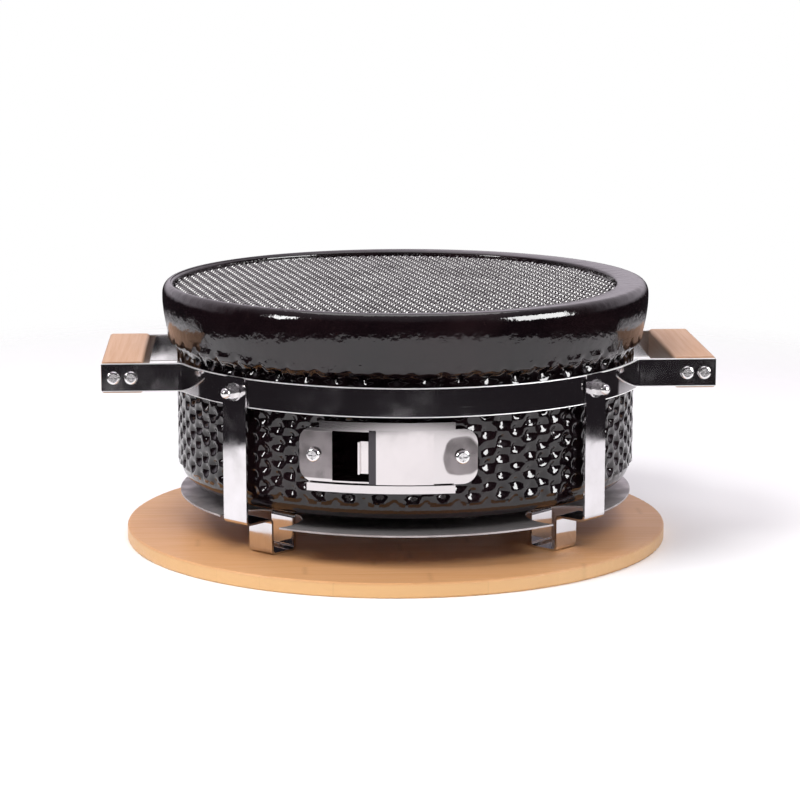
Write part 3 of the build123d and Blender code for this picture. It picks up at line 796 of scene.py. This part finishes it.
def woven_wires(turn, over):
    """All the wires of one direction. A wire at a distance d from the centre runs straight, as far
    as the root of R^2 - d^2 each way, and its height is a cosine of the way along it over the
    pitch, so that it goes over one crossing wire and under the next."""
    count = int(MESH_RADIUS / WIRE_PITCH)
    index = np.arange(-count, count + 1)
    across = index * WIRE_PITCH
    half = np.sqrt(MESH_RADIUS ** 2 - across ** 2)
    steps = 2 * count * STEPS_PER_PITCH + 1
    along = np.linspace(-1, 1, steps) * half[:, None]
    phase = math.pi * (along / WIRE_PITCH + index[:, None])
    rise = over * CRIMP * np.cos(phase)
    lean = np.arctan(-over * CRIMP * np.sin(phase) * math.pi / WIRE_PITCH)
    ring = np.arange(WIRE_SIDES) * 2 * math.pi / WIRE_SIDES
    aside = WIRE_RADIUS * np.cos(ring)
    upward = WIRE_RADIUS * np.sin(ring)
    x = along[:, :, None] - upward * np.sin(lean)[:, :, None]
    y = np.broadcast_to(across[:, None, None] + aside, x.shape)
    z = rise[:, :, None] + upward * np.cos(lean)[:, :, None]
    turned = np.stack((
        math.cos(turn) * x - math.sin(turn) * y,
        math.sin(turn) * x + math.cos(turn) * y,
        z,
    ), axis=-1)
    points = MESH_MIDDLE + turned.reshape(-1, 3)

    corner = np.arange(x.size).reshape(x.shape)
    beside = np.roll(corner, -1, axis=2)
    quads = np.stack((corner[:, :-1], beside[:, :-1], beside[:, 1:], corner[:, 1:]), axis=-1)
    starts, ends = corner[:, 0, ::-1], corner[:, -1]
    return points, quads.reshape(-1, 4).tolist() + starts.tolist() + ends.tolist()


def make_wire_steel():
    """Bright drawn wire with fine lines and small duller patches."""
    material, tree, shader, place = start_material("wire_steel", 0.25, 1.0)
    marks, _ = marks_on(tree, place)
    drawn = cloud(tree, place, 1800.0, detail=2.0)
    finish_with(tree, shader, tinted(tree, marks, WIRE_STEEL, WIRE_SMEAR),
                between(tree, drawn, 0.3, 0.7, 0.14, 0.28))
    raised(tree, shader, drawn, distance=0.00003)
    return material


wire_steel = make_wire_steel()
for wire_name, wire_turn, wire_over in (
        ("mesh_wires_one_way", MESH_TURN, 1),
        ("mesh_wires_across", MESH_TURN + math.radians(90), -1)):
    wire_points, wire_faces = woven_wires(wire_turn, wire_over)
    wires = put_in_scene(
        wire_name, wire_points, wire_faces, wire_steel, "mesh", smooth_below=60.0)
    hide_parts("cooking_mesh")


# Floor
# A plain white table top. It is whole round the grill, ends a little way in front of it, and
# fades out slowly behind it into the white, so that no edge shows.

TABLE_HALF = 1.6
TABLE_WHITE = (0.95, 0.95, 0.95)
TABLE_SHADE = (0.93, 0.93, 0.93)
DEPTH_SHARE = 0.78
FRONT_FADE = (0.566, 0.580)
BACK_FADE = (0.62, 0.85)
WEDGE_SLOPE = 0.6
WEDGE_FADE = (-0.22, -0.20)


def make_floor():
    """A flat square. It is solid inside an ellipse, where the root of x^2 + (0.78 y)^2 is small,
    and in a wedge behind the grill, where y less 0.6 of the distance aside is large."""
    corners = [(-TABLE_HALF, -TABLE_HALF, 0), (TABLE_HALF, -TABLE_HALF, 0),
               (TABLE_HALF, TABLE_HALF, 0), (-TABLE_HALF, TABLE_HALF, 0)]
    mesh = bpy.data.meshes.new("table_top")
    mesh.from_pydata(corners, [], [(0, 1, 2, 3)])
    material, tree, shader, place = start_material("white_table", 0.75)
    shader.inputs["Specular IOR Level"].default_value = 0.15
    shade = tinted(tree, cloud(tree, place, 4.0, detail=2.0), TABLE_SHADE, TABLE_WHITE)
    tree.links.new(shade, shader.inputs["Base Color"])
    distance = tree.nodes.new("ShaderNodeVectorMath")
    distance.operation = "LENGTH"
    tree.links.new(stretched(tree, place, (1.0, DEPTH_SHARE, 1.0)), distance.inputs[0])
    front = between(tree, distance.outputs["Value"], *FRONT_FADE, 1.0, 0.0)
    sideways, backwards, _ = axes(tree, place)
    aside = sums(tree, "MULTIPLY", sums(tree, "ABSOLUTE", sideways), WEDGE_SLOPE)
    wedge = between(tree, sums(tree, "SUBTRACT", backwards, aside), *WEDGE_FADE)
    back = between(tree, distance.outputs["Value"], *BACK_FADE, 1.0, 0.0)
    opaque = sums(tree, "MAXIMUM", front, sums(tree, "MULTIPLY", wedge, back))
    tree.links.new(opaque, shader.inputs["Alpha"])
    mesh.materials.append(material)
    floor = bpy.data.objects.new("table_top", mesh)
    bpy.context.scene.collection.objects.link(floor)


make_floor()


# Light
# Soft lamps high on the left, over the front and overhead light the grill. The first two don't
# show in its gloss, where two strips at the sides are seen instead, which light nothing dull.

LAMP_AIM = (0, 0, 0.1)
STRIP_AIM = (0, 0, 0.15)
SEEN_WHITE = (1, 1, 1, 1)
ROOM_DARK = (0.020, 0.017, 0.020)
ROOM_BRIGHT = (0.93, 0.85, 0.94)
ROOM_STRENGTH = 0.9
BACKDROP_RISE = (-0.05, 0.12)
CEILING_RISE = (0.4, 0.9)
CEILING_SHARE = 0.45


def soft_lamp(name, place, aim, size, power, in_gloss=True, on_dull=True):
    """A rectangular lamp at a place, turned to face a point. It may be left out of the gloss, or
    seen in the gloss alone."""
    lamp = bpy.data.lights.new(name, "AREA")
    lamp.shape = "RECTANGLE"
    lamp.size, lamp.size_y = size
    lamp.energy = power
    holder = bpy.data.objects.new(name, lamp)
    holder.location = place
    ahead, beside, above = np.array(aim, float) - np.array(place, float)
    tilt = math.atan2(math.hypot(ahead, beside), -above)
    holder.rotation_euler = (tilt, 0, math.atan2(beside, ahead) - math.pi / 2)
    holder.visible_glossy = in_gloss
    holder.visible_diffuse = on_dull
    bpy.context.scene.collection.objects.link(holder)


soft_lamp("lamp_left", (-1.1, -0.7, 1.8), LAMP_AIM, size=(1.1, 1.1), power=30, in_gloss=False)
soft_lamp("lamp_front", (0.4, -1.7, 1.6), LAMP_AIM, size=(1.2, 0.8), power=24, in_gloss=False)
soft_lamp("lamp_over", (0.0, 0.3, 1.9), LAMP_AIM, size=(1.4, 1.0), power=10)
soft_lamp("strip_left", (-1.55, -0.85, 0.9), STRIP_AIM, size=(0.3, 0.6), power=13, on_dull=False)
soft_lamp("strip_right", (1.6, -0.9, 0.8), STRIP_AIM, size=(1.0, 0.85), power=48, on_dull=False)


def make_studio():
    """White behind the object, and for reflections a bright backdrop and a pale ceiling in a dark
    room: the backdrop grows with Y above the horizon, and the ceiling with Z."""
    world = bpy.data.worlds.new("studio")
    world.use_nodes = True
    tree = world.node_tree
    tree.nodes.clear()
    output = tree.nodes.new("ShaderNodeOutputWorld")
    mix = tree.nodes.new("ShaderNodeMixShader")
    rays = tree.nodes.new("ShaderNodeLightPath")
    seen = tree.nodes.new("ShaderNodeBackground")
    seen.inputs["Color"].default_value = SEEN_WHITE
    seen.inputs["Strength"].default_value = 1.0
    room = tree.nodes.new("ShaderNodeBackground")
    direction = tree.nodes.new("ShaderNodeTexCoord").outputs["Generated"]
    _, backwards, upright = axes(tree, direction)
    backdrop = between(tree, backwards, 0.0, 0.5)
    backdrop = sums(tree, "MULTIPLY", backdrop, between(tree, upright, *BACKDROP_RISE))
    ceiling = between(tree, upright, *CEILING_RISE, 0.0, CEILING_SHARE)
    bright = sums(tree, "MAXIMUM", backdrop, ceiling)
    tree.links.new(tinted(tree, bright, ROOM_DARK, ROOM_BRIGHT), room.inputs["Color"])
    room.inputs["Strength"].default_value = ROOM_STRENGTH
    tree.links.new(rays.outputs["Is Camera Ray"], mix.inputs["Fac"])
    tree.links.new(room.outputs["Background"], mix.inputs[1])
    tree.links.new(seen.outputs["Background"], mix.inputs[2])
    tree.links.new(mix.outputs["Shader"], output.inputs["Surface"])
    bpy.context.scene.world = world


make_studio()


# Camera
# A long lens from the front, a little left of the vent and a little above the rim. The plain view
# keeps the white of the background and the black of the glaze apart.

SENSOR_WIDTH = 36.0
LENS = 120.1
CAMERA_PLACE = (-0.1090, -1.9103, 0.4520)
CAMERA_TILT = math.radians(79.515)
CAMERA_TURN = math.radians(-3.15)

bpy.context.scene.view_settings.view_transform = "Standard"
camera_data = bpy.data.cameras.new("camera")
camera_data.sensor_width = SENSOR_WIDTH
camera_data.lens = LENS
camera = bpy.data.objects.new("camera", camera_data)
camera.location = CAMERA_PLACE
camera.rotation_euler = (CAMERA_TILT, 0, CAMERA_TURN)
bpy.context.scene.collection.objects.link(camera)
bpy.context.scene.camera = camera
